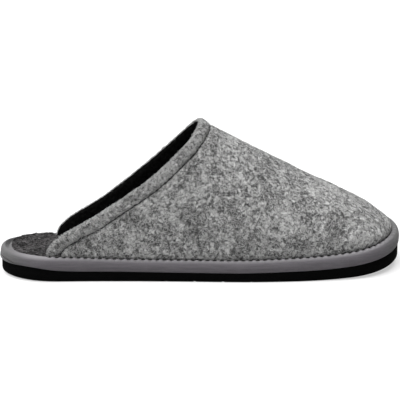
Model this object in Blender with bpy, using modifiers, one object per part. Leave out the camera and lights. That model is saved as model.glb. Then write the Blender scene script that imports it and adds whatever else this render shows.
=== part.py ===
"""A right-foot felt slipper: open heel, wool felt upper on a covered midsole with a foam outsole.

Metres, +Z up. +X points to the toe, +Y to the medial side, and the shoe stands on z = 0 with the
origin under its middle. Every piece is read from one last: a plan outline, a ridge line and a collar
line, whose tables hold shares of the driving sizes below. The functions measure x from the heel, and
an empty carries the pieces to the origin.
"""

import math
from collections import namedtuple

import bmesh
import bpy
import numpy as np

# Driving sizes of the last
LENGTH = 0.290
BALL_WIDTH = 0.106
PEAK_HEIGHT = 0.1066
HEEL_ROUND = 0.042
HEEL_ROUND_POWER = 2.2
TOE_ROUND = 0.046
TOE_ROUND_POWER = 2.2
TOE_BOX_ROUND = 0.045

# Sole
OUTSOLE_THICKNESS = 0.0078
OUTSOLE_INSET = 0.0008
OUTSOLE_CORNER = 0.0014
MIDSOLE_HEIGHT = 0.0100
BAND_DEPTH = 0.0060
BAND_CREST = 0.0004
TOE_SPRING = 0.0062
TOE_SPRING_FROM = 0.70
TOE_SPRING_POWER = 2.4
HEEL_SPRING = 0.0018
HEEL_SPRING_TO = 0.18
GROOVE_PITCH = 0.0200
GROOVE_WIDTH = 0.0014
GROOVE_DEPTH = 0.0012
GROOVE_INSET = 0.018

# Upper
WALL = 0.0035
COLLAR_WIDTH = 0.0087
COLLAR_BULGE = 0.0007
COLLAR_BULGE_FROM = 0.0060
COLLAR_BACK = 0.0325
COLLAR_PEAK = 0.1423
BELLY = 0.28
BELLY_POWER = 3

# Insole
INSOLE_THICKNESS = 0.0030
INSOLE_EDGE = 0.0009
HEEL_LIP = 0.0030
HEEL_LIP_REACH = 0.009
HEEL_CUP = 0.0018
HEEL_CUP_REACH = 0.024
HEEL_CUP_AT = 0.15
HEEL_CUP_SPREAD = 0.13
WING_STEP = 0.003
WING_ROOM = 0.0025

CLEARANCE = 0.0003

# Mesh density
RING_STEPS = 96
UPPER_ROWS = 30
AROUND_STEPS = 44

# Plan of the sole: centre line and half width as shares of BALL_WIDTH, then the shares of
# OUTSOLE_THICKNESS and MIDSOLE_HEIGHT, at shares of LENGTH from the heel.
Plan = namedtuple("Plan", "at centre half outsole midsole")
PLAN = [
    Plan(0.00, 0.000, 0.335, 1.12, 0.84),
    Plan(0.07, 0.000, 0.339, 1.22, 0.69),
    Plan(0.14, 0.000, 0.343, 1.01, 0.84),
    Plan(0.30, -0.018, 0.362, 0.90, 0.79),
    Plan(0.45, -0.030, 0.402, 0.84, 0.79),
    Plan(0.60, -0.030, 0.457, 0.84, 0.80),
    Plan(0.70, -0.018, 0.484, 0.93, 0.83),
    Plan(0.80, -0.004, 0.492, 1.00, 0.87),
    Plan(0.90, 0.018, 0.492, 1.12, 0.93),
    Plan(1.00, 0.050, 0.494, 1.24, 1.08),
]

# Ridge of the upper: its height above the sole as a share of the height at the collar's peak, how
# full the section is (2 is an ellipse), and its lean to the medial side as a share of the half width.
Ridge = namedtuple("Ridge", "at height full lean")
RIDGE = [
    Ridge(0.20, 1.60, 2.0, 0.00),
    Ridge(0.50, 1.00, 2.0, 0.00),
    Ridge(0.60, 0.821, 2.0, 0.02),
    Ridge(0.70, 0.645, 2.0, 0.03),
    Ridge(0.80, 0.463, 2.1, 0.04),
    Ridge(0.90, 0.300, 2.2, 0.04),
    Ridge(1.00, 0.190, 2.2, 0.04),
]

# Collar line: how far it has come forward from COLLAR_BACK to COLLAR_PEAK on each side, at shares
# of the height from the sole's edge to the peak.
Collar = namedtuple("Collar", "at lateral medial")
COLLAR = [
    Collar(0.00, 0.000, 0.068),
    Collar(0.05, 0.010, 0.083),
    Collar(0.10, 0.035, 0.114),
    Collar(0.16, 0.086, 0.175),
    Collar(0.29, 0.259, 0.348),
    Collar(0.45, 0.460, 0.526),
    Collar(0.60, 0.640, 0.677),
    Collar(0.80, 0.836, 0.856),
    Collar(0.90, 0.927, 0.933),
    Collar(1.00, 1.000, 1.000),
]

# Side of the covered midsole, from its foot to the crest: shares of BAND_DEPTH inwards, and of the
# height from the outsole to the feather edge.
Band = namedtuple("Band", "inwards up")
BAND = [
    Band(0.15, 0.00),
    Band(0.06, 0.10),
    Band(0.00, 0.34),
    Band(0.03, 0.56),
    Band(0.14, 0.76),
    Band(0.36, 0.93),
    Band(0.62, 1.00),
]

# Top of the footbed from its edge to the middle of the heel: shares of HEEL_CUP_REACH inwards and
# of HEEL_CUP down.
Pad = namedtuple("Pad", "inwards down")
PAD = [
    Pad(0.42, 0.45),
    Pad(0.75, 0.85),
    Pad(1.00, 1.00),
]

# Section of the collar band: shares of COLLAR_WIDTH from its free edge, and how far the bulge
# stands out there as a share of COLLAR_BULGE. At zero width it is the middle of the wall.
Cuff = namedtuple("Cuff", "across bulge")
CUFF = [
    Cuff(0.07, 0.20),
    Cuff(0.30, 1.00),
    Cuff(0.75, 1.00),
    Cuff(1.00, 0.00),
]


def smooth(table, column, at):
    """Reads a table's column at a share of its length, as one smooth curve through its rows."""
    places = np.array([row.at for row in table])
    values = np.array([getattr(row, column) for row in table])
    step = np.diff(places)
    slope = np.diff(values) / step
    tangent = np.empty(len(places))
    tangent[0], tangent[-1] = slope[0], slope[-1]
    tangent[1:-1] = (slope[1:] * step[:-1] + slope[:-1] * step[1:]) / (step[1:] + step[:-1])
    at = np.asarray(at, float)
    i = np.clip(np.searchsorted(places, at) - 1, 0, len(step) - 1)
    t = (at - places[i]) / step[i]
    inside = np.clip(t, 0, 1)
    square, cube = inside**2, inside**3
    value = values[i] * (2 * cube - 3 * square + 1) + values[i + 1] * (3 * square - 2 * cube)
    value += step[i] * (tangent[i] * (cube - 2 * square + inside) + tangent[i + 1] * (cube - square))
    before = np.minimum(t, 0) * step[i] * tangent[0]
    after = np.maximum(t - 1, 0) * step[i] * tangent[-1]
    return value + before + after


def end_cap(distance, reach, power=2.0):
    """Rounds an end: 0 at the tip and 1 from `reach` inwards."""
    t = np.clip(1 - distance / reach, 0, 1)
    return (1 - t**power) ** (1 / power)


def edge(turn):
    """Widest outline of the sole. Turn 0 is the heel, pi the toe, and past pi the medial side."""
    x = LENGTH * (1 - np.cos(turn)) / 2
    half = smooth(PLAN, "half", x / LENGTH) * BALL_WIDTH
    half = half * end_cap(x, HEEL_ROUND, HEEL_ROUND_POWER) * end_cap(LENGTH - x, TOE_ROUND, TOE_ROUND_POWER)
    side = np.where(np.sin(turn) >= 0, -1.0, 1.0)
    centre = smooth(PLAN, "centre", x / LENGTH) * BALL_WIDTH
    return np.stack([x, centre + side * half], axis=-1)


def outline(turn, inset):
    """The outline moved inwards, square to itself."""
    turn = np.asarray(turn, float)
    step = 2e-3
    along = edge(turn + step) - edge(turn - step)
    along /= np.linalg.norm(along, axis=-1, keepdims=True)
    outwards = np.stack([along[..., 1], -along[..., 0]], axis=-1)
    return edge(turn) - outwards * np.asarray(inset)[..., None]


def ground_line(x):
    """Underside of the outsole: flat from the heel to the ball, with a little lift at both ends."""
    toe = np.clip((x / LENGTH - TOE_SPRING_FROM) / (1 - TOE_SPRING_FROM), 0, None)
    heel = np.clip(1 - x / (LENGTH * HEEL_SPRING_TO), 0, None)
    return TOE_SPRING * toe**TOE_SPRING_POWER + HEEL_SPRING * heel**2


def outsole_top(x):
    return ground_line(x) + OUTSOLE_THICKNESS * smooth(PLAN, "outsole", x / LENGTH)


def feather(x):
    """Height of the edge where the upper leaves the covered midsole."""
    return outsole_top(x) + MIDSOLE_HEIGHT * smooth(PLAN, "midsole", x / LENGTH)


def deck(x):
    """Height of the midsole's top face, which the insole lies on."""
    return feather(x) - INSOLE_THICKNESS


def last(turn, around):
    """Outer face of the upper. Around is 0 at the lateral edge, pi / 2 on the ridge, pi medially."""
    turn, around = np.broadcast_arrays(np.asarray(turn, float), np.asarray(around, float))
    lateral = outline(turn, BAND_DEPTH)
    medial = outline(2 * math.pi - turn, BAND_DEPTH)
    centre = (lateral + medial) / 2
    across = (medial - lateral) / 2
    x = centre[..., 0]
    full = smooth(RIDGE, "full", x / LENGTH)
    reach = (np.abs(np.cos(around)) ** full + np.abs(np.sin(around)) ** full) ** (-1 / full)
    side, up = reach * np.cos(around), reach * np.sin(around)
    tip = LENGTH - BAND_DEPTH
    height = smooth(RIDGE, "height", x / LENGTH) * (PEAK_HEIGHT - feather(COLLAR_PEAK))
    height = height * end_cap(tip - x, TOE_BOX_ROUND)
    belly = 1 + BELLY * up * np.clip(1 - up, 0, 1) ** BELLY_POWER
    lean = smooth(RIDGE, "lean", x / LENGTH) * up
    plan = centre - across * (side * belly - lean)[..., None]
    return np.concatenate([plan, (feather(x) + height * up)[..., None]], axis=-1)


def collar_place(point, around):
    """Where the collar line runs, as x, at a point's height and on its side of the foot."""
    base = feather(point[..., 0])
    at = np.clip((point[..., 2] - base) / (PEAK_HEIGHT - base), 0, 1.3)
    medial = (1 - np.cos(around)) / 2
    forward = smooth(COLLAR, "lateral", at) * (1 - medial) + smooth(COLLAR, "medial", at) * medial
    return COLLAR_BACK + (COLLAR_PEAK - COLLAR_BACK) * forward


def collar_turn(around):
    """The turn at which the upper starts, found by halving an interval."""
    low = np.full_like(around, 0.3)
    high = np.full_like(around, 2.6)
    for _ in range(40):
        middle = (low + high) / 2
        point = last(middle, around)
        ahead = point[..., 0] > collar_place(point, around)
        high = np.where(ahead, middle, high)
        low = np.where(ahead, low, middle)
    return (low + high) / 2


def set_back(around, distance):
    """The turn at a distance behind the collar's edge, measured on the last square to the edge."""
    turn = collar_turn(around)
    step = 1e-3
    backwards = (last(turn + step, around) - last(turn - step, around)) / (2 * step)
    start, stop = np.clip(around - step, 0, math.pi), np.clip(around + step, 0, math.pi)
    rim = last(collar_turn(stop), stop) - last(collar_turn(start), start)
    rim /= np.linalg.norm(rim, axis=-1, keepdims=True)
    square = backwards - rim * np.sum(backwards * rim, axis=-1, keepdims=True)
    return turn + distance / np.linalg.norm(square, axis=-1)


def outward(turn, around):
    """Unit normal of the last."""
    step = 1e-3
    around = np.clip(around, step, math.pi - step)
    along = last(turn + step, around) - last(turn - step, around)
    over = last(turn, around + step) - last(turn, around - step)
    normal = np.cross(along, over)
    return normal / np.linalg.norm(normal, axis=-1, keepdims=True)


def material(name, colour, roughness):
    made = bpy.data.materials.new(name)
    made.use_nodes = True
    shader = made.node_tree.nodes["Principled BSDF"]
    shader.inputs["Base Color"].default_value = (*colour, 1.0)
    shader.inputs["Roughness"].default_value = roughness
    shader.inputs["Metallic"].default_value = 0.0
    return made


def finish_object(name, shape, collection, surface, sharp_angle=40):
    """Turns a bmesh into a named, smooth shaded object in a collection, carried by its empty."""
    bmesh.ops.remove_doubles(shape, verts=shape.verts, dist=1e-6)
    bmesh.ops.recalc_face_normals(shape, faces=shape.faces)
    mesh = bpy.data.meshes.new(name)
    shape.to_mesh(mesh)
    shape.free()
    mesh.shade_smooth()
    mesh.set_sharp_from_angle(angle=math.radians(sharp_angle))
    mesh.materials.append(surface)
    made = bpy.data.objects.new(name, mesh)
    collection.objects.link(made)
    made.parent = bpy.data.objects["heel_point"]
    return made


def add_rows(shape, rows, closed=False):
    """Joins rows of points with quads. A closed row comes back round to its first point."""
    grid = [[shape.verts.new(point) for point in row] for row in rows]
    columns = len(grid[0])
    for lower, upper in zip(grid, grid[1:]):
        for j in range(columns if closed else columns - 1):
            k = (j + 1) % columns
            shape.faces.new((lower[j], lower[k], upper[k], upper[j]))
    return grid


def close_slab(shape, ring):
    """Fills a ring that starts at the heel with rungs from its lateral to its medial side."""
    count = len(ring)
    for i in range(count // 2):
        rung = (ring[i], ring[i + 1], ring[count - i - 1], ring[-i])
        shape.faces.new(list(dict.fromkeys(rung)))


def ring_turns():
    return np.arange(RING_STEPS) * 2 * math.pi / RING_STEPS


def make_heel_point(collection):
    """The empty at the heel's tip, placed so that the origin is under the middle of the shoe."""
    across = edge(ring_turns())[:, 1]
    heel = bpy.data.objects.new("heel_point", None)
    heel.location = (-LENGTH / 2, -(across.min() + across.max()) / 2, 0)
    collection.objects.link(heel)


def sole_slab(levels, stations=()):
    """A slab with the sole's outline. Each level is an inset, from the plan, and a height, from x.

    Stations are extra places along x where the outline gets a point on both sides.
    """
    turns = ring_turns()
    extra = np.arccos(1 - 2 * np.array(stations) / LENGTH)
    turns = np.unique(np.concatenate([turns, extra, 2 * math.pi - extra]))
    shape = bmesh.new()
    rows = []
    for inset, height in levels:
        plan = outline(turns, inset(edge(turns)))
        rows.append(np.column_stack([plan, height(plan[:, 0])]))
    grid = add_rows(shape, rows, closed=True)
    close_slab(shape, grid[0])
    close_slab(shape, grid[-1])
    return shape


def fixed(inset):
    """An inset that is the same all round."""
    return lambda plan: np.full(len(plan), inset)


def groove_places():
    """Centres of the tread grooves, a whole number of them spread from heel to toe."""
    run = LENGTH - 2 * GROOVE_INSET
    count = max(2, round(run / GROOVE_PITCH) + 1)
    return np.linspace(GROOVE_INSET, LENGTH - GROOVE_INSET, count)


def groove_cutter(collection):
    """Bars laid across under the outsole, one for each tread groove."""
    shape = bmesh.new()
    for place in groove_places():
        bar = bmesh.ops.create_cube(shape, size=1.0)["verts"]
        top = float(ground_line(place)) + GROOVE_DEPTH
        bottom = -GROOVE_DEPTH
        bmesh.ops.scale(shape, vec=(GROOVE_WIDTH, 2 * BALL_WIDTH, top - bottom), verts=bar)
        bmesh.ops.translate(shape, vec=(place, 0, (top + bottom) / 2), verts=bar)
    mesh = bpy.data.meshes.new("groove_cutter")
    shape.to_mesh(mesh)
    shape.free()
    cutter = bpy.data.objects.new("groove_cutter", mesh)
    cutter.display_type = "WIRE"
    cutter.hide_render = True
    collection.objects.link(cutter)
    cutter.parent = bpy.data.objects["heel_point"]
    return cutter


def make_outsole(parts, cutters, surface):
    """Black foam sole with a rounded lower edge and shallow grooves across the tread."""
    def corner(turn):
        lift = OUTSOLE_CORNER * (1 - math.cos(turn))
        inset = OUTSOLE_INSET + OUTSOLE_CORNER * (1 - math.sin(turn))
        return fixed(inset), lambda x: ground_line(x) + lift

    levels = [corner(turn) for turn in np.radians([0, 30, 60, 90])]
    levels.append((fixed(OUTSOLE_INSET), outsole_top))
    sole = finish_object("outsole", sole_slab(levels), parts, surface)
    cut = sole.modifiers.new("tread", "BOOLEAN")
    cut.operation = "DIFFERENCE"
    cut.solver = "EXACT"
    cut.object = groove_cutter(cutters)
    return sole


def heel_lip(plan):
    """How much further in the crest reaches at the heel's tip, where the cloth is turned over."""
    return HEEL_LIP * np.clip(1 - plan[:, 0] / HEEL_LIP_REACH, 0, 1)


def lip_inset(plan):
    """Inner edge of the crest, just clear of the footbed."""
    return BAND_DEPTH - CLEARANCE + heel_lip(plan)


def make_covered_midsole(parts, surface):
    """Grey wrapped platform: a convex side, a crest that the upper is sewn to, and a sunk deck."""
    def height_at(up):
        return lambda x: (outsole_top(x) + CLEARANCE) * (1 - up) + feather(x) * up

    levels = [(fixed(row.inwards * BAND_DEPTH), height_at(row.up)) for row in BAND]
    crest = (BAND[-1].inwards + 1) / 2 * BAND_DEPTH
    levels.append((fixed(crest), lambda x: feather(x) + BAND_CREST))
    levels.append((lip_inset, feather))
    levels.append((lip_inset, deck))
    return finish_object("covered_midsole", sole_slab(levels), parts, surface)


def insole_wings():
    """Where the footbed has stepped in to pass inside the upper, on the lateral and medial side."""
    medial = COLLAR[0].medial * (COLLAR_PEAK - COLLAR_BACK)
    return COLLAR_BACK - WING_ROOM, COLLAR_BACK + medial - WING_ROOM


def insole_inset(plan):
    """The footbed reaches the crest at the open heel, and steps in before the upper."""
    lateral, medial = insole_wings()
    wing = np.where(plan[:, 1] > 0, medial, lateral)
    step = np.clip((plan[:, 0] - wing + WING_STEP) / WING_STEP, 0, 1)
    return BAND_DEPTH + heel_lip(plan) + (WALL + CLEARANCE) * step


def make_insole(parts, surface):
    """Charcoal felt footbed with a soft top edge and a shallow cup under the heel."""
    def cup(x):
        return HEEL_CUP * np.exp(-(((x / LENGTH - HEEL_CUP_AT) / HEEL_CUP_SPREAD) ** 2))

    def inset_by(extra):
        return lambda plan: insole_inset(plan) + extra

    def top(down):
        return lambda x: feather(x) - down * cup(x)

    def rounded(turn):
        lift = INSOLE_EDGE * (1 - math.sin(turn))
        return inset_by(INSOLE_EDGE * (1 - math.cos(turn))), lambda x: feather(x) - lift

    levels = [(inset_by(0.0), lambda x: deck(x) + CLEARANCE)]
    levels += [rounded(turn) for turn in np.radians([0, 45, 90])]
    levels += [(inset_by(row.inwards * HEEL_CUP_REACH), top(row.down)) for row in PAD]
    stations = [place for wing in insole_wings() for place in (wing - WING_STEP, wing)]
    return finish_object("insole", sole_slab(levels, stations), parts, surface)


def tuck(rows):
    """Runs a sheet's two side edges straight down to the deck, behind the crest."""
    low = rows[:, (0, -1)].copy()
    low[..., 2] = deck(low[..., 0]) + CLEARANCE
    return np.concatenate([low[:, :1], rows, low[:, 1:]], axis=1)


def make_upper(parts, surface):
    """Felt vamp: an open sheet of the last from the collar seam to the toe, given its wall."""
    around = np.linspace(0, math.pi, AROUND_STEPS + 1)
    start = set_back(around, COLLAR_WIDTH + CLEARANCE)
    share = np.linspace(0, 1, UPPER_ROWS + 1)
    ease = share * (1.25 - 0.25 * share)
    rows = tuck(last(start + (math.pi - start) * ease[:, None], around))
    shape = bmesh.new()
    add_rows(shape, rows)
    upper = finish_object("upper", shape, parts, surface)
    wall = upper.modifiers.new("wall", "SOLIDIFY")
    wall.thickness = WALL
    wall.offset = -1.0
    wall.use_even_offset = True
    return upper


def make_collar_band(parts, surface):
    """Folded felt band along the collar, a little thicker than the wall that it is sewn to."""
    around = np.linspace(0, math.pi, AROUND_STEPS + 1)

    def strand(across, bulge, side):
        """side is 1 on the outer face, 0 in the middle of the wall and -1 on the inner face."""
        turn = set_back(around, across * COLLAR_WIDTH)
        place = last(turn, around)
        rise = np.clip((place[:, 2] - feather(place[:, 0])) / COLLAR_BULGE_FROM, 0, 1)
        depth = WALL * (1 - side) / 2 - side * bulge * COLLAR_BULGE * rise
        return place - depth[:, None] * outward(turn, around)

    outside = [strand(row.across, row.bulge, 1) for row in CUFF]
    inside = [strand(row.across, row.bulge, -1) for row in reversed(CUFF)]
    tip = [strand(0.0, 0.0, 0)]
    section = tuck(np.array(tip + outside + inside))
    shape = bmesh.new()
    grid = add_rows(shape, section.transpose(1, 0, 2), closed=True)
    shape.faces.new(grid[0])
    shape.faces.new(grid[-1])
    return finish_object("collar_band", shape, parts, surface)


def main():
    for old in list(bpy.data.objects):
        bpy.data.objects.remove(old)
    parts = bpy.data.collections.new("felt_slipper")
    cutters = bpy.data.collections.new("cutters")
    bpy.context.scene.collection.children.link(parts)
    bpy.context.scene.collection.children.link(cutters)

    felt = material("grey_felt", (0.29, 0.29, 0.28), 0.95)
    band = material("grey_band_cloth", (0.15, 0.14, 0.15), 0.75)
    foam = material("black_foam", (0.012, 0.012, 0.012), 0.8)
    footbed = material("charcoal_felt", (0.075, 0.072, 0.073), 0.95)

    make_heel_point(parts)
    make_outsole(parts, cutters, foam)
    make_covered_midsole(parts, band)
    make_insole(parts, footbed)
    make_upper(parts, felt)
    make_collar_band(parts, felt)


main()
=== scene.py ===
"""Looks of the felt slipper: mélange wool felt, puffed collar fold, stitched sole band and foam sole.

Metres, +Z up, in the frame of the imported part. The geometry functions measure x from the heel's tip,
as the part's own source does, and each mesh is then shifted by `heel_point` to the part's origin.
"""

import functools
import math
from collections import namedtuple

import bmesh
import bpy
import numpy as np
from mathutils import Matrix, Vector

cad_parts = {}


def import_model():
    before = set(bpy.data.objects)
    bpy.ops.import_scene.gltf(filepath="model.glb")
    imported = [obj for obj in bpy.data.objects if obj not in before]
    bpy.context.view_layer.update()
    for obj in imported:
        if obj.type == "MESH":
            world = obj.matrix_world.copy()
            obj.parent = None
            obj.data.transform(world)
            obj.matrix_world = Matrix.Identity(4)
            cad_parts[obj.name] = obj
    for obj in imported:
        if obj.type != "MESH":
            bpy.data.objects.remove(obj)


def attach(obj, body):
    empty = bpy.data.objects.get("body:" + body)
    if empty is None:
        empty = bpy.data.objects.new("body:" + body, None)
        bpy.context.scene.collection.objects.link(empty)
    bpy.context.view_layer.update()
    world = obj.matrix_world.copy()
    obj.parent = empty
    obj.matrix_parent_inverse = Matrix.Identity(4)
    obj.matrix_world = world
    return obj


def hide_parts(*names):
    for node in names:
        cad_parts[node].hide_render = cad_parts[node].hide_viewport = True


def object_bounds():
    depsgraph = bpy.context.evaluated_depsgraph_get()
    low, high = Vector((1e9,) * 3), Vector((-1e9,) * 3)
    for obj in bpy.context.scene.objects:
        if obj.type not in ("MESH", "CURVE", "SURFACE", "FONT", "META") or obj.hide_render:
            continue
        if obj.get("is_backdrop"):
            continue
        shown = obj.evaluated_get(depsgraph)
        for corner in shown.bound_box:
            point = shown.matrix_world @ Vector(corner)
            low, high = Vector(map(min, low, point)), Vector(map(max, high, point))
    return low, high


# Driving sizes of the last
LENGTH = 0.290
BALL_WIDTH = 0.106
PEAK_HEIGHT = 0.1066
HEEL_ROUND = 0.042
HEEL_ROUND_POWER = 2.2
TOE_ROUND = 0.046
TOE_ROUND_POWER = 2.2
TOE_BOX_ROUND = 0.045
BELLY = 0.28
BELLY_POWER = 3

# Sole
OUTSOLE_THICKNESS = 0.0078
OUTSOLE_INSET = 0.0008
OUTSOLE_CORNER = 0.0014
MIDSOLE_HEIGHT = 0.0100
BAND_DEPTH = 0.0060
TOE_SPRING = 0.0062
TOE_SPRING_FROM = 0.70
TOE_SPRING_POWER = 2.4
HEEL_SPRING = 0.0018
HEEL_SPRING_TO = 0.18
GROOVE_PITCH = 0.0200
GROOVE_WIDTH = 0.0014
GROOVE_DEPTH = 0.0012
GROOVE_INSET = 0.018
GROOVE_SIDES = np.array([-1.04, -0.96, 0.96, 1.04])
EDGE_CUT = 0.55
EDGE_CUT_SPREAD = 0.13
RIB_PITCH = 0.0025
RIB_DEPTH = 0.00025
RIB_SWAY = 0.0022
RIB_WAVE = 0.016
RIB_MARGIN = 0.005
RIB_FADE = 0.002

# Fold of the band's cloth under the heel: how far forward it shows, and its depth
FOLD_REACH = 0.016
FOLD_AT = 0.25
FOLD_WIDTH = 0.026
FOLD_DEPTH = 0.0022
FOLD_LIP = 0.0012

# Cloth turned over at the heel: its lip up the section, and the groove on the far side
LIP_FROM = 0.80
LIP_TO = 0.90
LIP_GROOVE_AT = 0.83
LIP_GROOVE_WIDTH = 0.030
LIP_GROOVE_DEPTH = 0.0048
FAR_SIDE_EASE = 2.5

# The crest's tilt at the heel, up on the lateral side
HEEL_TILT = 0.0019
HEEL_TILT_AT = 0.016
HEEL_TILT_SPREAD = 0.016

# Crest of the band: its place up the section, its scallops, and where it is painted pale: a painted
# highlight along the top of the crest, with the cloth's wear
CREST_AT = 0.84
CREST_SPREAD = 0.11
SCALLOP = 0.0011
SCALLOP_LEVEL = 0.6
SCALLOP_INWARDS = 0.5
HIGHLIGHT_AND_WEAR_FROM = -0.0013
HIGHLIGHT_AND_WEAR_TO = 0.0003

# Upper and collar
WALL = 0.0035
LINING = 0.0008
COLLAR_WIDTH = 0.0087
COLLAR_BULGE = 0.0007
COLLAR_BACK = 0.0325
COLLAR_PEAK = 0.1423
COLLAR_RIM = 0.0022
COLLAR_OVERRUN = 1.3
BULGE_FROM = 0.0060
BULGE_LEAN = 0.85
BULGE_FULL = 0.6
PUFF_SIZE = 0.014
PUFF_VARIES = 0.22
SEAM_DEPTH = 0.0013
SEAM_SPREAD = 0.0010
SEAM_STEPS = np.array([0, 0.3, 0.6, 0.9, 1.3, 1.8, 2.5, 3.4]) / 1000
SEAM_STITCH_PITCH = 0.0036
SEAM_THREAD = 0.0006
GATHER_HEIGHT = 0.0020
GATHER_DEPTH = 0.0008
GATHER_AT_STITCH = 1.25
GATHER_LOOSENS = 0.5
TOE_GATHER_FROM = 0.6
TOE_GATHER_EASE = 0.8
FELT_SWELL = 0.00018
FELT_SWELL_SIZE = 0.016
FELT_LUMP = 0.00009
FELT_LUMP_SIZE = 0.0055
SWELL_FADE = 0.004
TOE_TIP = 0.15
TOE_DIP = 0.10
TOE_DIP_FROM = 0.925
TOE_DIP_RUN = 0.035
LINING_OVERLAP = 1.4
LINING_PUFF = 0.7
FLEECE_LUMP = 0.0002
FLEECE_LUMP_SIZE = 0.006

# Insole
INSOLE_THICKNESS = 0.0030
INSOLE_EDGE = 0.0009
HEEL_LIP = 0.0030
HEEL_LIP_REACH = 0.009
INSOLE_FLARE = 0.0011
INSOLE_PROUD = 0.0007
FAR_PROUD = 0.0005
FAR_PROUD_FROM = 0.013
FAR_PROUD_TO = 0.019
PROUD_REACH = 0.006
NAP_LUMP = 0.00012
NAP_LUMP_SIZE = 0.007
NAP_MARGIN = 0.004
HEEL_CUP = 0.0018
HEEL_CUP_REACH = 0.024
HEEL_CUP_AT = 0.15
HEEL_CUP_SPREAD = 0.13
WING_STEP = 0.002
WING_ROOM = 0.0010

# Stitches along the crest of the band
STITCH_PITCH = 0.0050
STITCH_LENGTH = 0.0032
STITCH_THICKNESS = 0.0009

# Where loose fibres lie: what tells outside from inside, the way the vamp's seam wall and the
# collar's free edge face, and how far the footbed lies open
OUTSIDE_MIDDLE = np.array([0.5 * LENGTH, 0.0, 0.02])
OUTSIDE_WEIGHT = np.array([0.35, 1.0, 1.0])
OUTSIDE_MARGIN = 0.0005
SEAM_FACING = -0.5
RIM_FACING = np.array([-0.6, 0.0, 0.8])
RIM_WITHIN = 0.72
OPEN_HEEL = 0.075

# How much loose fibres curl and kink, as shares of their length
FIBRE_CURL = 0.55
FIBRE_KINK = 0.25

CLEARANCE = 0.0003

# Mesh density
BAND_STEPS = 1100
BAND_LEVELS = 64
INSOLE_STEPS = 560
INSOLE_ACROSS = 72
OUTSOLE_STEPS = 560
OUTSOLE_ACROSS = 56
VAMP_ROWS = 230
LINING_ROWS = 60
LINING_ACROSS = 16
ROW_EASE = 0.25
AROUND_STEPS = 150
COLLAR_STEPS = 300
COLLAR_ACROSS = 22
WALK_STEPS = 6001
HALVINGS = 40
COLLAR_TURNS = (0.3, 2.6)
EDGE_DEGREES = [0, 30, 60, 90]
CORNER_DEGREES = [0, 22, 45, 68, 90]
TIP_DEGREES = [0.4, 0.9, 1.6, 178.4, 179.1, 179.6]

# Camera, measured from the heel's tip on the floor
CAMERA_AZIMUTH = -6.0
CAMERA_ELEVATION = 14.5
CAMERA_DISTANCE = 1.0
CAMERA_TARGET = (0.1437, 0.0007, 0.0471)
CAMERA_LENS = 124.7
SENSOR_WIDTH = 36.0

# Light
FLOOR_HALF = 6.0
FLOOR_GREY = 0.50
FLOOR_GLOW = 0.50
ROOM_LIGHT = 0.06

# Large soft lamps: where the light comes from, its strength, and how wide the lamp looks in degrees
Lamp = namedtuple("Lamp", "name source strength width")
LAMPS = [
    Lamp("overhead", (-0.20, 0.02, 1.0), 4.7, 75),
    Lamp("front_left", (-0.75, -0.65, 0.30), 0.9, 60),
    Lamp("left", (-1.0, 0.40, 0.15), 0.2, 50),
    Lamp("right", (1.0, 0.40, 0.10), 0.3, 50),
]

# Tints, as shares of red, green and blue
WOOL_TINT = (1.0, 1.0, 0.99)
CHARCOAL_TINT = (1.05, 0.98, 1.01)
HEATHER_TINT = (1.03, 0.96, 1.05)
# Tint of the painted highlight and wear on the band's crest
HIGHLIGHT_AND_WEAR_TINT = (1.01, 0.98, 1.02)

# Felts: the greys of their dark and light wool, and the shift of the pattern
Felt = namedtuple("Felt", "dark light tint shift sheen")
GREY_FELT = Felt(0.069, 0.60, WOOL_TINT, 0.0, 0.25)
# The collar's felt is the upper's grey felt painted lighter: painted light on the collar
LIT_COLLAR_FELT = Felt(0.090, 0.70, WOOL_TINT, 0.21, 0.25)
CHARCOAL_FELT = Felt(0.012, 0.115, CHARCOAL_TINT, 0.37, 0.05)

# Layers of a felt's pattern: the size of their patches, and how much they change the tone
Layer = namedtuple("Layer", "size rough warp share")
CLUMPS = Layer(0.0042, 0.55, 0.5, 1.45)
CLOUDS = Layer(0.0160, 0.5, 0.2, 1.05)
SPECKS = Layer(0.0019, 0.6, 0.4, 1.7)
FELT_TONE = 0.42
PALE_HAIRS = 0.30
DEEP_HAIRS = -0.26
FELT_RELIEF = 0.00035

# Greys of the loose wool
WOOLS = {"pale_wool": 0.50, "dark_wool": 0.06, "ash_wool": 0.10, "black_wool": 0.008}

# Greys of the band's cloth and of the painted highlight and wear on its crest, and where its ends lie,
# as shares of the length from the middle
BAND_DARK = 0.097
BAND_LIGHT = 0.132
BAND_HIGHLIGHT_AND_WEAR = 0.225
BAND_END_FROM = 0.41
BAND_END_TO = 0.49
# Share of the crest's painted highlight and wear that the band's ends go without
BAND_END_LESS_HIGHLIGHT = 0.8

# Plan of the sole: centre line and half width as shares of BALL_WIDTH, then the shares of
# OUTSOLE_THICKNESS and MIDSOLE_HEIGHT, at shares of LENGTH from the heel.
Plan = namedtuple("Plan", "at centre half outsole midsole")
PLAN = [
    Plan(0.00, 0.000, 0.335, 1.12, 0.84),
    Plan(0.07, 0.000, 0.339, 1.22, 0.69),
    Plan(0.14, 0.000, 0.343, 1.01, 0.84),
    Plan(0.30, -0.018, 0.362, 0.90, 0.79),
    Plan(0.45, -0.030, 0.402, 0.84, 0.79),
    Plan(0.60, -0.030, 0.457, 0.84, 0.80),
    Plan(0.70, -0.018, 0.484, 0.93, 0.83),
    Plan(0.80, -0.004, 0.492, 1.00, 0.87),
    Plan(0.90, 0.018, 0.492, 1.12, 0.93),
    Plan(1.00, 0.050, 0.494, 1.24, 1.08),
]

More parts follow.
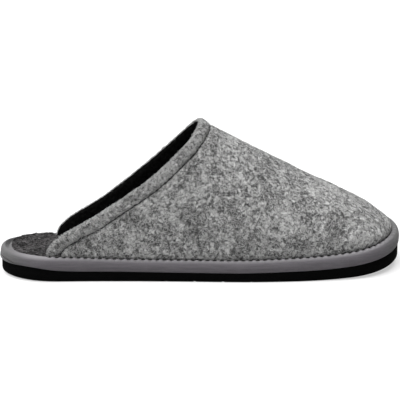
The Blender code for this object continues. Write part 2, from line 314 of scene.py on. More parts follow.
# Ridge of the upper: its height as a share of the height at the collar's peak, how full the section
# is (2 is an ellipse), and its lean to the medial side as a share of the half width.
Ridge = namedtuple("Ridge", "at height full lean")
RIDGE = [
    Ridge(0.20, 1.60, 2.0, 0.00),
    Ridge(0.50, 1.00, 2.0, 0.00),
    Ridge(0.60, 0.821, 2.0, 0.02),
    Ridge(0.70, 0.645, 2.0, 0.03),
    Ridge(0.80, 0.463, 2.1, 0.04),
    Ridge(0.90, 0.300, 2.2, 0.04),
    Ridge(1.00, 0.190, 2.2, 0.04),
]

# Collar line: how far it has come forward from COLLAR_BACK to COLLAR_PEAK on each side, at shares
# of the height from the sole's edge to the peak.
Collar = namedtuple("Collar", "at lateral medial")
COLLAR = [
    Collar(0.00, 0.000, 0.068),
    Collar(0.05, 0.010, 0.083),
    Collar(0.10, 0.035, 0.114),
    Collar(0.16, 0.086, 0.175),
    Collar(0.29, 0.259, 0.348),
    Collar(0.45, 0.460, 0.526),
    Collar(0.60, 0.640, 0.677),
    Collar(0.80, 0.836, 0.856),
    Collar(0.90, 0.927, 0.933),
    Collar(1.00, 1.000, 1.000),
]

# Section of the wrapped band, from its foot over the crest and down inside: shares of BAND_DEPTH
# inwards, and of the height from the outsole to the feather edge.
Roll = namedtuple("Roll", "at inwards up")
ROLL = [
    Roll(0.00, 0.18, -0.02),
    Roll(0.06, 0.08, 0.05),
    Roll(0.22, 0.00, 0.30),
    Roll(0.40, 0.02, 0.56),
    Roll(0.55, 0.12, 0.78),
    Roll(0.68, 0.32, 0.95),
    Roll(0.78, 0.56, 1.03),
    Roll(0.87, 0.80, 1.03),
    Roll(0.94, 0.95, 0.94),
    Roll(1.00, 0.96, 0.72),
]


def smooth(table, column, at):
    """Reads a table's column at a share of its length, as one smooth curve through its rows."""
    places = np.array([row.at for row in table])
    values = np.array([getattr(row, column) for row in table])
    step = np.diff(places)
    slope = np.diff(values) / step
    tangent = np.empty(len(places))
    tangent[0], tangent[-1] = slope[0], slope[-1]
    tangent[1:-1] = (slope[1:] * step[:-1] + slope[:-1] * step[1:]) / (step[1:] + step[:-1])
    at = np.asarray(at, float)
    i = np.clip(np.searchsorted(places, at) - 1, 0, len(step) - 1)
    t = (at - places[i]) / step[i]
    inside = clamp(t)
    square, cube = inside**2, inside**3
    value = values[i] * (2 * cube - 3 * square + 1) + values[i + 1] * (3 * square - 2 * cube)
    value += step[i] * (tangent[i] * (cube - 2 * square + inside) + tangent[i + 1] * (cube - square))
    before = np.minimum(t, 0) * step[i] * tangent[0]
    after = np.maximum(t - 1, 0) * step[i] * tangent[-1]
    return value + before + after


def clamp(value):
    return np.clip(value, 0, 1)


def ramp(value, low, high):
    """0 up to `low`, 1 from `high` on, and straight between them."""
    return clamp((value - low) / (high - low))


def eased(share):
    """A share from 0 to 1 with a soft start and a soft end."""
    return share**2 * (3 - 2 * share)


def bell(offset, width):
    """1 at no offset, and close to 0 from about two widths away."""
    return np.exp(-((offset / width) ** 2))


def unit(vectors):
    return vectors / np.linalg.norm(vectors, axis=-1, keepdims=True)


def distances(points):
    """How far along a line each of its points lies."""
    return np.concatenate([[0], np.cumsum(np.linalg.norm(np.diff(points, axis=0), axis=1))])


def end_cap(distance, reach, power=2.0):
    """Rounds an end: 0 at the tip and 1 from `reach` inwards."""
    t = clamp(1 - distance / reach)
    return (1 - t**power) ** (1 / power)


def edge(turn):
    """Widest outline of the sole. Turn 0 is the heel, pi the toe, and past pi the medial side."""
    x = LENGTH * (1 - np.cos(turn)) / 2
    half = smooth(PLAN, "half", x / LENGTH) * BALL_WIDTH
    half = half * end_cap(x, HEEL_ROUND, HEEL_ROUND_POWER)
    half = half * end_cap(LENGTH - x, TOE_ROUND, TOE_ROUND_POWER)
    side = np.where(np.sin(turn) >= 0, -1.0, 1.0)
    centre = smooth(PLAN, "centre", x / LENGTH) * BALL_WIDTH
    return np.stack([x, centre + side * half], axis=-1)


def outline_outwards(turn):
    step = 2e-3
    along = unit(edge(turn + step) - edge(turn - step))
    return np.stack([along[..., 1], -along[..., 0]], axis=-1)


def outline(turn, inset):
    """The outline moved inwards, square to itself."""
    turn = np.asarray(turn, float)
    return edge(turn) - outline_outwards(turn) * np.asarray(inset)[..., None]


def ground_line(x):
    toe = np.clip((x / LENGTH - TOE_SPRING_FROM) / (1 - TOE_SPRING_FROM), 0, None)
    heel = np.clip(1 - x / (LENGTH * HEEL_SPRING_TO), 0, None)
    return TOE_SPRING * toe**TOE_SPRING_POWER + HEEL_SPRING * heel**2


def outsole_top(x):
    return ground_line(x) + OUTSOLE_THICKNESS * smooth(PLAN, "outsole", x / LENGTH)


def feather(x):
    """Height of the edge where the upper leaves the band."""
    return outsole_top(x) + MIDSOLE_HEIGHT * smooth(PLAN, "midsole", x / LENGTH)


def deck(x):
    return feather(x) - INSOLE_THICKNESS


def last(turn, around):
    """Outer face of the upper. Around is 0 at the lateral edge, pi / 2 on the ridge, pi medially."""
    turn, around = np.broadcast_arrays(np.asarray(turn, float), np.asarray(around, float))
    lateral = outline(turn, BAND_DEPTH)
    medial = outline(2 * math.pi - turn, BAND_DEPTH)
    centre = (lateral + medial) / 2
    across = (medial - lateral) / 2
    x = centre[..., 0]
    full = smooth(RIDGE, "full", x / LENGTH)
    reach = (np.abs(np.cos(around)) ** full + np.abs(np.sin(around)) ** full) ** (-1 / full)
    side, up = reach * np.cos(around), reach * np.sin(around)
    tip = LENGTH - BAND_DEPTH
    height = smooth(RIDGE, "height", x / LENGTH) * (PEAK_HEIGHT - feather(COLLAR_PEAK))
    height = height * end_cap(tip - x, TOE_BOX_ROUND)
    belly = 1 + BELLY * up * clamp(1 - up) ** BELLY_POWER
    lean = smooth(RIDGE, "lean", x / LENGTH) * up
    plan = centre - across * (side * belly - lean)[..., None]
    return np.concatenate([plan, (feather(x) + height * up)[..., None]], axis=-1)


def collar_place(point, around):
    """Where the collar line runs, as x, at a point's height and on its side of the foot."""
    base = feather(point[..., 0])
    at = np.clip((point[..., 2] - base) / (PEAK_HEIGHT - base), 0, COLLAR_OVERRUN)
    medial = (1 - np.cos(around)) / 2
    forward = smooth(COLLAR, "lateral", at) * (1 - medial) + smooth(COLLAR, "medial", at) * medial
    return COLLAR_BACK + (COLLAR_PEAK - COLLAR_BACK) * forward


def collar_turn(around):
    """The turn at which the upper starts, found by halving an interval."""
    low, high = (np.full_like(around, turn) for turn in COLLAR_TURNS)
    for _ in range(HALVINGS):
        middle = (low + high) / 2
        point = last(middle, around)
        ahead = point[..., 0] > collar_place(point, around)
        high = np.where(ahead, middle, high)
        low = np.where(ahead, low, middle)
    return (low + high) / 2


def collar_line(around):
    """The turn at the collar's edge, and the metres that a turn runs back from it, square to it."""
    turn = collar_turn(around)
    step = 1e-3
    backwards = (last(turn + step, around) - last(turn - step, around)) / (2 * step)
    start, stop = np.clip(around - step, 0, math.pi), np.clip(around + step, 0, math.pi)
    rim = unit(last(collar_turn(stop), stop) - last(collar_turn(start), start))
    square = backwards - rim * np.sum(backwards * rim, axis=-1, keepdims=True)
    return turn, np.linalg.norm(square, axis=-1)


def set_back(line, distance):
    """The turn at a distance behind the collar's edge."""
    turn, pace = line
    return turn + distance / pace


def outward(turn, around):
    """Unit normal of the last."""
    step = 1e-3
    turn = np.minimum(turn, math.pi - 3 * step)
    around = np.clip(around, step, math.pi - step)
    along = last(turn + step, around) - last(turn - step, around)
    over = last(turn, around + step) - last(turn, around - step)
    return unit(np.cross(along, over))


def heel_point():
    """Where the heel's tip is in the part's frame."""
    across = edge(np.linspace(0, 2 * math.pi, 96, endpoint=False))[:, 1]
    return Vector((-LENGTH / 2, -(across.min() + across.max()) / 2, 0))


def ripple(points, size, seed):
    """Smooth noise between about -1 and 1: waves of one size that run in scattered directions."""
    rng = np.random.default_rng(seed)
    total = np.zeros(points.shape[:-1])
    waves = 14
    for _ in range(waves):
        direction = rng.normal(size=3)
        direction /= np.linalg.norm(direction)
        pace = 2 * math.pi / size * rng.uniform(0.7, 1.4)
        total += np.sin(points @ direction * pace + rng.uniform(0, 2 * math.pi))
    return total / math.sqrt(waves / 2) / 2


# Meshes


def add_object(name, data):
    made = bpy.data.objects.new(name, data)
    bpy.context.scene.collection.objects.link(made)
    return made


def mesh_object(name, points, faces, surface):
    """A smooth shaded object in the part's frame from points measured at the heel."""
    mesh = bpy.data.meshes.new(name)
    shift = np.array(heel_point())
    mesh.from_pydata((np.asarray(points) + shift).tolist(), [], faces)
    mesh.materials.append(surface)
    mesh.shade_smooth()
    mesh.update()
    return add_object(name, mesh)


def grid_faces(rows, columns):
    """Quads over a grid of points, row by row. Each row comes back round to its first point."""
    faces = []
    for a in range(0, (rows - 1) * columns, columns):
        b = a + columns
        for j in range(columns):
            k = (j + 1) % columns
            faces.append((a + j, a + k, b + k, b + j))
    return faces


def outside_in(made):
    """Turns a mesh's faces outwards."""
    shape = bmesh.new()
    shape.from_mesh(made.data)
    bmesh.ops.remove_doubles(shape, verts=shape.verts, dist=1e-6)
    bmesh.ops.recalc_face_normals(shape, faces=shape.faces)
    shape.to_mesh(made.data)
    shape.free()
    made.data.update()
    return made


def even_turns(count):
    """Turns that part the sole's outline into equal lengths, from the heel round to the heel."""
    turns = np.linspace(0, 2 * math.pi, WALK_STEPS)
    walked = distances(edge(turns))
    return np.interp(np.linspace(0, walked[-1], count, endpoint=False), walked, turns)


@functools.cache
def crest_walk():
    """Turns round the sole, and how far along the crest each lies from the heel."""
    turns = np.linspace(0, 2 * math.pi, WALK_STEPS)
    return turns, distances(outline(turns, BAND_DEPTH))


@functools.cache
def stitch_run():
    """How far along the crest the collar's two feet lie, and how many stitches run between them."""
    lateral, medial = collar_turn(np.array([0.0, math.pi]))
    start, stop = np.interp([lateral, 2 * math.pi - medial], *crest_walk())
    return start, stop, round((stop - start) / STITCH_PITCH)


def stitch_places():
    """How far along the crest the middle of each stitch lies."""
    start, stop, count = stitch_run()
    return start + (np.arange(count) + 0.5) * (stop - start) / count


def between_stitches(walked):
    """1 halfway between two stitches and 0 at a stitch, and 1 where the crest is sewn, 0 elsewhere."""
    start, stop, count = stitch_run()
    phase = (walked - start) / (stop - start) * count
    sewn = clamp(np.minimum(walked - start, stop - walked) / STITCH_PITCH + 0.5)
    return 0.5 + 0.5 * np.cos(2 * math.pi * phase), sewn


def sole_slab(name, turns, levels, surface, top=None, bottom=None, across=1):
    """A closed slab. Levels are rings of points from the bottom to the top, one for each turn.

    The two ends are filled with rungs between the sides. Top and bottom give a rung point's height
    from its x, its y and its distance to the nearer side, where `across` parts the rungs.
    """
    count = len(turns)
    points = list(np.concatenate(levels))
    faces = grid_faces(len(levels), count)
    for ring, height, first in ((levels[0], bottom, 0), (levels[-1], top, (len(levels) - 1) * count)):
        parts = across if height else 1
        share = (np.arange(1, parts) / parts)[:, None]
        rungs = []
        for i in range(count // 2 + 1):
            near, far = first + i, first + (-i) % count
            if near == far:
                rungs.append([near] * (parts + 1))
                continue
            a, b = ring[i], ring[-i]
            inner = a * (1 - share) + b * share
            if height:
                rim = np.linalg.norm(b - a) * np.minimum(share, 1 - share)[:, 0]
                inner[:, 2] = height(inner[:, 0], inner[:, 1], rim)
            rungs.append([near, *range(len(points), len(points) + parts - 1), far])
            points.extend(inner)
        for one, two in zip(rungs, rungs[1:]):
            for j in range(parts):
                corners = list(dict.fromkeys((one[j], one[j + 1], two[j + 1], two[j])))
                if len(corners) > 2:
                    faces.append(corners)
    return outside_in(mesh_object(name, points, faces, surface))


def ring_at(turns, inset, height):
    """One ring of points: the outline moved inwards, at a height given by its x."""
    plan = outline(turns, inset)
    return np.column_stack([plan, height(plan[:, 0])])


def make_band(surface):
    """The wrapped platform. Its crest is drawn down at each stitch, and it folds under at the heel."""
    turns = even_turns(BAND_STEPS)
    walked = np.interp(turns, *crest_walk())
    crown, sewn = between_stitches(walked)
    x = edge(turns)[:, 0]
    fold = clamp(1 - x / FOLD_REACH)
    lip = heel_lip(x)
    far = clamp(0.5 - FAR_SIDE_EASE * np.sin(turns))
    tilt = HEEL_TILT * np.sin(turns) * bell(x - HEEL_TILT_AT, HEEL_TILT_SPREAD)
    levels = []
    for at in np.linspace(0, 1, BAND_LEVELS):
        crest = bell(at - CREST_AT, CREST_SPREAD)
        inwards = float(smooth(ROLL, "inwards", at)) * BAND_DEPTH
        up = float(smooth(ROLL, "up", at))
        crease = fold * bell(at - FOLD_AT * fold, FOLD_WIDTH)
        under = fold * clamp(1 - at / (FOLD_AT * fold + 1e-6))
        groove = lip / HEEL_LIP * far * bell(at - LIP_GROOVE_AT, LIP_GROOVE_WIDTH)
        inset = inwards + FOLD_DEPTH * crease - FOLD_LIP * under
        inset = inset + lip * ramp(at, LIP_FROM, LIP_TO)
        inset = inset - SCALLOP * crest * sewn * (crown - 0.5) * SCALLOP_INWARDS
        rise = SCALLOP * crest * sewn * (crown - SCALLOP_LEVEL) - LIP_GROOVE_DEPTH * groove
        rise = rise + tilt * clamp(up) ** 2

        def height(x, up=up, rise=rise):
            foot = outsole_top(x) + CLEARANCE
            return foot + (feather(x) - foot) * up + rise

        levels.append(ring_at(turns, inset, height))
    band = sole_slab("sole_band", turns, levels, surface)
    # The band is painted pale towards the top of its crest: a painted highlight where the overhead
    # light falls, with the cloth's wear
    add_highlight_and_wear(band, lambda x, z: ramp(z - feather(x), HIGHLIGHT_AND_WEAR_FROM, HIGHLIGHT_AND_WEAR_TO))
    return band


def add_highlight_and_wear(made, share):
    """Stores how pale each point is painted, from its x and its height, for the material to read: a
    painted highlight, with wear.
    """
    place = np.empty(len(made.data.vertices) * 3)
    made.data.vertices.foreach_get("co", place)
    place = place.reshape(-1, 3) - np.array(heel_point())
    crest_highlight_and_wear = made.data.attributes.new("crest_highlight_and_wear", "FLOAT", "POINT")
    crest_highlight_and_wear.data.foreach_set("value", share(place[:, 0], place[:, 2]).astype(np.float32))


def insole_wings():
    """Where the footbed has stepped in to pass inside the upper, on the lateral and medial side."""
    medial = COLLAR[0].medial * (COLLAR_PEAK - COLLAR_BACK)
    return COLLAR_BACK - WING_ROOM, COLLAR_BACK + medial - WING_ROOM


def heel_lip(x):
    """How much further in the crest reaches at the heel's tip, where the cloth is turned over."""
    return HEEL_LIP * clamp(1 - x / HEEL_LIP_REACH)


def insole_inset(plan):
    lateral, medial = insole_wings()
    wing = np.where(plan[:, 1] > 0, medial, lateral)
    step = ramp(plan[:, 0], wing - WING_STEP, wing)
    return BAND_DEPTH + heel_lip(plan[:, 0]) + (WALL + CLEARANCE) * eased(step)


def make_insole(surface):
    """Felt footbed with a soft edge and a shallow cup under the heel."""
    turns = even_turns(INSOLE_STEPS)
    plan = edge(turns)
    inset = insole_inset(plan)
    bare = clamp(1 - (inset - heel_lip(plan[:, 0]) - BAND_DEPTH) / WALL)

    def cup(x):
        return HEEL_CUP * bell(x / LENGTH - HEEL_CUP_AT, HEEL_CUP_SPREAD)

    def proud(x, y):
        """How far the edge stands above the crest: most on the medial side, and not under the upper."""
        medial = ramp(x, FAR_PROUD_FROM, FAR_PROUD_TO) * (y > 0)
        lateral_wing, medial_wing = insole_wings()
        end = np.where(y > 0, medial_wing, lateral_wing) + WING_STEP
        return (INSOLE_PROUD + FAR_PROUD * medial) * clamp((end - x) / WING_STEP)

    def top(x, y, rim):
        share = clamp(rim / HEEL_CUP_REACH)
        nap = NAP_LUMP * ripple(np.stack([x, y, 0 * x], axis=-1), NAP_LUMP_SIZE, 11)
        raised = proud(x, y) * clamp(1 - rim / PROUD_REACH)
        return feather(x) + raised - cup(x) * eased(share) + nap * clamp(rim / NAP_MARGIN)

    levels = [ring_at(turns, inset, lambda x: deck(x) + CLEARANCE)]
    for turn in np.radians(EDGE_DEGREES):
        lift = INSOLE_EDGE * (1 - math.sin(turn))
        rounding = INSOLE_EDGE * (1 - math.cos(turn)) - INSOLE_FLARE * bare
        raised = ring_at(turns, inset + rounding, lambda x, lift=lift: feather(x) - lift)
        raised[:, 2] += proud(raised[:, 0], raised[:, 1]) * bare
        levels.append(raised)
    return sole_slab("footbed", turns, levels, surface, top=top, across=INSOLE_ACROSS)


def groove_places():
    """Centres of the tread grooves, a whole number of them spread from heel to toe."""
    run = LENGTH - 2 * GROOVE_INSET
    count = max(2, round(run / GROOVE_PITCH) + 1)
    return np.linspace(GROOVE_INSET, LENGTH - GROOVE_INSET, count)


def tread(x):
    """Height of the tread's cut at x: the grooves, straight across."""
    near = np.abs(np.asarray(x)[..., None] - groove_places()).min(axis=-1)
    return GROOVE_DEPTH * (near < GROOVE_WIDTH / 2)


def make_outsole(surface):
    """Foam sole with rounded corners, tread grooves across it and fine wavy ribs between them."""
    sides = groove_places()[:, None] + GROOVE_WIDTH / 2 * GROOVE_SIDES
    stations = np.concatenate([np.linspace(0, LENGTH, OUTSOLE_STEPS), sides.ravel()])
    half = np.arccos(np.clip(1 - 2 * stations / LENGTH, -1, 1))
    half = np.unique(np.concatenate([half, np.radians(TIP_DEGREES)]))
    turns = np.concatenate([half, (2 * math.pi - half[1:-1])[::-1]])

    def under(x, lift):
        """The cuts run out shallow at the side, but for the few under the arch."""
        cut = tread(x) * EDGE_CUT * bell(x / LENGTH - 0.5, EDGE_CUT_SPREAD)
        return ground_line(x) + np.maximum(lift, cut)

    def ribs(x, y, rim):
        wave = RIB_SWAY * np.sin(2 * math.pi * y / RIB_WAVE)
        cut = RIB_DEPTH * (0.5 - 0.5 * np.cos(2 * math.pi * (x + wave) / RIB_PITCH))
        cut = cut * clamp((rim - RIB_MARGIN) / RIB_FADE)
        return ground_line(x) + np.maximum(cut, tread(x))

    levels = []
    for turn in np.radians(CORNER_DEGREES):
        lift = OUTSOLE_CORNER * (1 - math.cos(turn))
        inset = OUTSOLE_INSET + OUTSOLE_CORNER * (1 - math.sin(turn))
        levels.append(ring_at(turns, inset, lambda x, lift=lift: under(x, lift)))
    levels.append(ring_at(turns, OUTSOLE_INSET, outsole_top))
    return sole_slab("foam_outsole", turns, levels, surface, bottom=ribs, across=OUTSOLE_ACROSS)


# Upper


def rows_to_toe(near, count):
    """Rows of turns near the collar, and after them a count of rows that reach the toe."""
    share = np.linspace(0, 1, count + 1)[1:, None]
    ease = share * (1 + ROW_EASE - ROW_EASE * share)
    return np.concatenate([near, near[-1] + (math.pi - near[-1]) * ease])


def vamp_turns(around):
    """Turns from the collar seam to the toe, close together at the seam."""
    line = collar_line(around)
    near = [set_back(line, COLLAR_WIDTH + CLEARANCE + distance) for distance in SEAM_STEPS]
    return rows_to_toe(near, VAMP_ROWS)


def drawn_in(turn, around, point):
    """How far the felt is drawn in above the crest, most of all at the stitches."""
    height = point[..., 2] - feather(point[..., 0])
    walked = np.interp(np.where(around < math.pi / 2, turn, 2 * math.pi - turn), *crest_walk())
    crown = between_stitches(walked)[0]
    gather = bell(height, GATHER_HEIGHT) * (GATHER_AT_STITCH - GATHER_LOOSENS * crown)
    toe = ramp(point[..., 0] / LENGTH, TOE_GATHER_FROM, 1)
    return GATHER_DEPTH * gather * (1 - TOE_GATHER_EASE * toe)


def felt_face(turn, around, seam_distance):
    """Outer face of the vamp: the last with the felt's own unevenness, drawn in at both seams."""
    point = last(turn, around)
    dip = clamp((point[..., 0] / LENGTH - TOE_DIP_FROM) / TOE_DIP_RUN)
    point[..., 2] -= TOE_DIP * eased(dip) * (point[..., 2] - feather(point[..., 0]))
    swell = FELT_SWELL * ripple(point, FELT_SWELL_SIZE, 5)
    swell = swell + FELT_LUMP * ripple(point, FELT_LUMP_SIZE, 6)
    seam = SEAM_DEPTH * bell(seam_distance, SEAM_SPREAD)
    free = clamp((math.pi - turn) / TOE_TIP)
    move = swell * (1 - bell(seam_distance, SWELL_FADE)) - seam
    move = (move - drawn_in(turn, around, point)) * free
    return point + outward(turn, around) * move[..., None]


def shell(name, outer, inner, surface):
    """A closed wall between two sheets whose last rows have drawn together at the toe."""
    rows, columns = outer.shape[:2]

    def tucked(sheet, side):
        low = sheet[:, side].copy()
        low[:, 2] = np.minimum(low[:, 2], deck(low[:, 0]) + CLEARANCE)
        return low[:, None]

    loop = [tucked(outer, 0), outer, tucked(outer, -1), tucked(inner, -1), inner[:, ::-1]]
    loop = np.concatenate(loop + [tucked(inner, 0)], axis=1)
    width = loop.shape[1]
    faces = grid_faces(rows, width)
    for j in range(columns + 1):
        faces.append((j, j + 1, width - 2 - j, width - 1 - j))
    return outside_in(mesh_object(name, loop.reshape(-1, 3), faces, surface))


def inner_sheet(turn, around, depth):
    """The last moved inwards by a depth, drawn to one point at the toe."""
    sheet = last(turn, around) - outward(turn, around) * np.asarray(depth)[..., None]
    sheet[-1] = sheet[-1].mean(axis=0)
    return sheet


def make_vamp(surface):
    around = np.linspace(0, math.pi, AROUND_STEPS + 1)
    turn = vamp_turns(around)
    distance = np.concatenate([SEAM_STEPS, np.full(VAMP_ROWS, 1.0)])[:, None]
    wide = np.broadcast_to(around, turn.shape)
    outer = felt_face(turn, wide, distance)
    inner = inner_sheet(turn, wide, WALL - LINING)
    return shell("felt_upper", outer, inner, surface)


def collar_bulge(across):
    return COLLAR_BULGE * np.sin(math.pi * clamp(across) ** BULGE_LEAN) ** BULGE_FULL


def make_lining(surface):
    """Black fleece inside the upper, from just under the collar's rim to the toe."""
    around = np.linspace(0, math.pi, AROUND_STEPS // 2 + 1)
    across = np.linspace(0.03, 1, LINING_ACROSS) ** 1.3
    line = collar_line(around)
    turn = rows_to_toe([set_back(line, share * COLLAR_WIDTH) for share in across], LINING_ROWS)
    wide = np.broadcast_to(around, turn.shape)
    puff = np.concatenate([collar_bulge(across) * LINING_PUFF, np.zeros(LINING_ROWS)])[:, None]
    rim = clamp(np.concatenate([across * COLLAR_WIDTH / COLLAR_RIM, np.ones(LINING_ROWS)]))
    round_off = (WALL / 2) * (1 - np.sqrt(1 - (1 - rim) ** 2))[:, None]
    fleece = FLEECE_LUMP * ripple(last(turn, wide), FLEECE_LUMP_SIZE, 8)
    depth = WALL + (puff - round_off) * rise_from_crest(turn, wide) + fleece
    outer = inner_sheet(turn, wide, WALL - LINING_OVERLAP * LINING)
    return shell("black_lining", outer, inner_sheet(turn, wide, depth), surface)


def rise_from_crest(turn, around):
    """0 at the crest and 1 a few millimetres above it, where the collar is free to bulge."""
    point = last(turn, around)
    return clamp((point[..., 2] - feather(point[..., 0])) / BULGE_FROM)


def make_collar(surface):
    """The folded felt along the opening: a puffed outside, a round rim, and a seam sunk behind it."""
    around = np.linspace(0, math.pi, COLLAR_STEPS + 1)
    line = collar_line(around)
    outside = (1 - np.cos(np.linspace(0, math.pi / 2, COLLAR_ACROSS))) ** 0.9
    walk = [(across, True) for across in outside[::-1]]
    walk += [(across, False) for across in (*outside[1::3], 1.0)]
    middle = -WALL / 2
    rows = []
    for across, shows in walk:
        turn = set_back(line, across * COLLAR_WIDTH)
        place = last(turn, around)
        full = np.full(len(around), -(WALL - LINING))
        if shows:
            seam = SEAM_DEPTH * bell((1 - across) * COLLAR_WIDTH, SEAM_SPREAD)
            varied = 1 + PUFF_VARIES * ripple(place, PUFF_SIZE, 21)
            puff = collar_bulge(across) * rise_from_crest(turn, around) * varied
            lump = FELT_LUMP * ripple(place, FELT_LUMP_SIZE, 22) * (1 - across**6)
            full = puff + lump - seam - drawn_in(turn, around, place)
        closing = math.sqrt(1 - (1 - min(1, across * COLLAR_WIDTH / COLLAR_RIM)) ** 2)
        offset = middle + (full - middle) * closing
        rows.append(place + outward(turn, around) * offset[:, None])
    section = np.array(rows)
    low = section[:, (0, -1)].copy()
    low[..., 2] = deck(low[..., 0]) + CLEARANCE
    section = np.concatenate([low[:, :1], section, low[:, 1:]], axis=1).transpose(1, 0, 2)
    count, wide = section.shape[:2]
    faces = grid_faces(count, wide)
    faces.append(tuple(range(wide)))
    faces.append(tuple(range((count - 1) * wide, count * wide)))
    return outside_in(mesh_object("felt_collar", section.reshape(-1, 3), faces, surface))


# Thread and fibres


def strands(name, centres, radii, sides, surface):
    """Closed tubes. Centres is strands x stations x 3 and radii strands x stations, 0 at both tips."""
    count, stations = centres.shape[:2]
    along = np.gradient(centres, axis=1)
    along /= np.linalg.norm(along, axis=-1, keepdims=True) + 1e-12
    helper = np.zeros_like(along)
    helper[..., 2] = 1
    flat = np.abs(along[..., 2]) > 0.9
    helper[flat] = (1, 0, 0)
    one = unit(np.cross(along, helper))
    two = np.cross(along, one)
    angle = np.arange(sides) * 2 * math.pi / sides
    ring = one[:, 1:-1, None] * np.cos(angle)[:, None] + two[:, 1:-1, None] * np.sin(angle)[:, None]
    ring = centres[:, 1:-1, None] + ring * radii[:, 1:-1, None, None]
    body = ring.reshape(count, -1, 3)
    points = np.concatenate([centres[:, :1], body, centres[:, -1:]], axis=1)
    size = points.shape[1]
    faces = []
    for j in range(sides):
        k = (j + 1) % sides
        faces.append((0, 1 + k, 1 + j))
        for i in range(stations - 3):
            a, b = 1 + i * sides, 1 + (i + 1) * sides
            faces.append((a + j, a + k, b + k))
            faces.append((a + j, b + k, b + j))
        last_ring = 1 + (stations - 3) * sides
        faces.append((last_ring + j, last_ring + k, size - 1))
    faces = (np.array(faces)[None] + np.arange(count)[:, None, None] * size).reshape(-1, 3)
    return triangle_mesh(name, points.reshape(-1, 3), faces, surface)


def triangle_mesh(name, points, triangles, surface):
    mesh = bpy.data.meshes.new(name)
    mesh.vertices.add(len(points))
    mesh.vertices.foreach_set("co", (points + np.array(heel_point())).ravel())
    mesh.loops.add(triangles.size)
    mesh.loops.foreach_set("vertex_index", triangles.ravel().astype(np.int32))
    mesh.polygons.add(len(triangles))
    mesh.polygons.foreach_set("loop_start", np.arange(0, triangles.size, 3, dtype=np.int32))
    mesh.materials.append(surface)
    mesh.update(calc_edges=True)
    mesh.shade_smooth()
    return add_object(name, mesh)


def make_crest_stitches(surface):
    """Dark thread in short stitches between the felt and the crest of the band."""
    turns, walked = crest_walk()
    station = np.array([-0.58, -0.5, -0.36, -0.14, 0.14, 0.36, 0.5, 0.58]) * STITCH_LENGTH
    at = stitch_places()[:, None] + station
    turn = np.interp(at, walked, turns)
    plan = outline(turn, BAND_DEPTH - 0.3 * STITCH_THICKNESS)
    arch = np.array([-1.5, -1.0, -0.25, 0.1, 0.1, -0.25, -1.0, -1.5]) * STITCH_THICKNESS
    height = feather(plan[..., 0]) + 0.15 * STITCH_THICKNESS + arch
    centres = np.concatenate([plan, height[..., None]], axis=-1)
    radii = np.broadcast_to(np.array([0, 0.9, 1, 1, 1, 1, 0.9, 0]) * STITCH_THICKNESS / 2, turn.shape)
    return strands("crest_stitches", centres, radii, 8, surface)


def make_collar_stitches(surface):
    """Thread sunk in the seam behind the collar fold."""
    around = np.linspace(0.02, math.pi - 0.02, 1200)
    turn = set_back(collar_line(around), COLLAR_WIDTH + CLEARANCE / 2)
    line = last(turn, around) - outward(turn, around) * SEAM_DEPTH * 0.75
    walked = distances(line)
    count = int(walked[-1] / SEAM_STITCH_PITCH)
    station = np.array([-0.42, -0.3, -0.1, 0.1, 0.3, 0.42]) * SEAM_STITCH_PITCH
    at = (np.arange(count)[:, None] + 0.5) * SEAM_STITCH_PITCH + station
    centres = np.stack([np.interp(at, walked, line[:, axis]) for axis in range(3)], axis=-1)
    radii = np.broadcast_to(np.array([0, 0.8, 1, 1, 0.8, 0]) * SEAM_THREAD / 2, at.shape)
    return strands("collar_stitches", centres, radii, 6, surface)


def scatter(made, count, seed, keep):
    """Points on the faces that `keep` chooses, evenly by area, with their normals."""
    rng = np.random.default_rng(seed)
    polygons = made.data.polygons
    area = np.empty(len(polygons))
    centre, normal = np.empty((2, len(polygons) * 3))
    polygons.foreach_get("area", area)
    polygons.foreach_get("center", centre)
    polygons.foreach_get("normal", normal)
    centre = centre.reshape(-1, 3) - np.array(heel_point())
    normal = normal.reshape(-1, 3)
    area = area * keep(centre, normal)
    chosen = rng.choice(len(area), size=count, p=area / area.sum())
    point, normal = centre[chosen], normal[chosen]
    side = unit(np.cross(normal, rng.normal(size=(count, 3))))
    spread = np.sqrt(area[chosen])[:, None]
    point = point + side * rng.uniform(-0.5, 0.5, (count, 1)) * spread
    return point, normal, side, rng


def make_fibres(row, made, surface):
    """Short curled fibres that lie on a felt piece, each a thin closed strand sunk at both ends."""
    each = (row.count, 1)
    point, normal, along, rng = scatter(made, row.count, row.seed, row.keep)
    across = np.cross(normal, along)
    share = np.linspace(-1, 1, 5)
    size = row.length * rng.uniform(0.5, 1.4, each)
    curl = rng.normal(0, FIBRE_CURL, each)
    kink = rng.normal(0, FIBRE_KINK, each)
    forward = share * size / 2
    sideways = size / 2 * (curl * (share**2 - 0.4) + kink * share**3)
    height = row.lift * rng.uniform(0.4, 1.2, each) * (1 - 1.6 * share**2)
    height = height + row.stand * size * rng.uniform(0.2, 1.0, each) * np.clip(share + 0.4, 0, None)
    centres = point[:, None] + along[:, None] * forward[..., None]
    centres = centres + across[:, None] * sideways[..., None] + normal[:, None] * height[..., None]
    radii = row.thickness / 2 * np.array([0, 0.9, 1.0, 0.9, 0]) * rng.uniform(0.7, 1.3, each)
    return strands(row.name, centres, radii, 3, surface)


# Materials


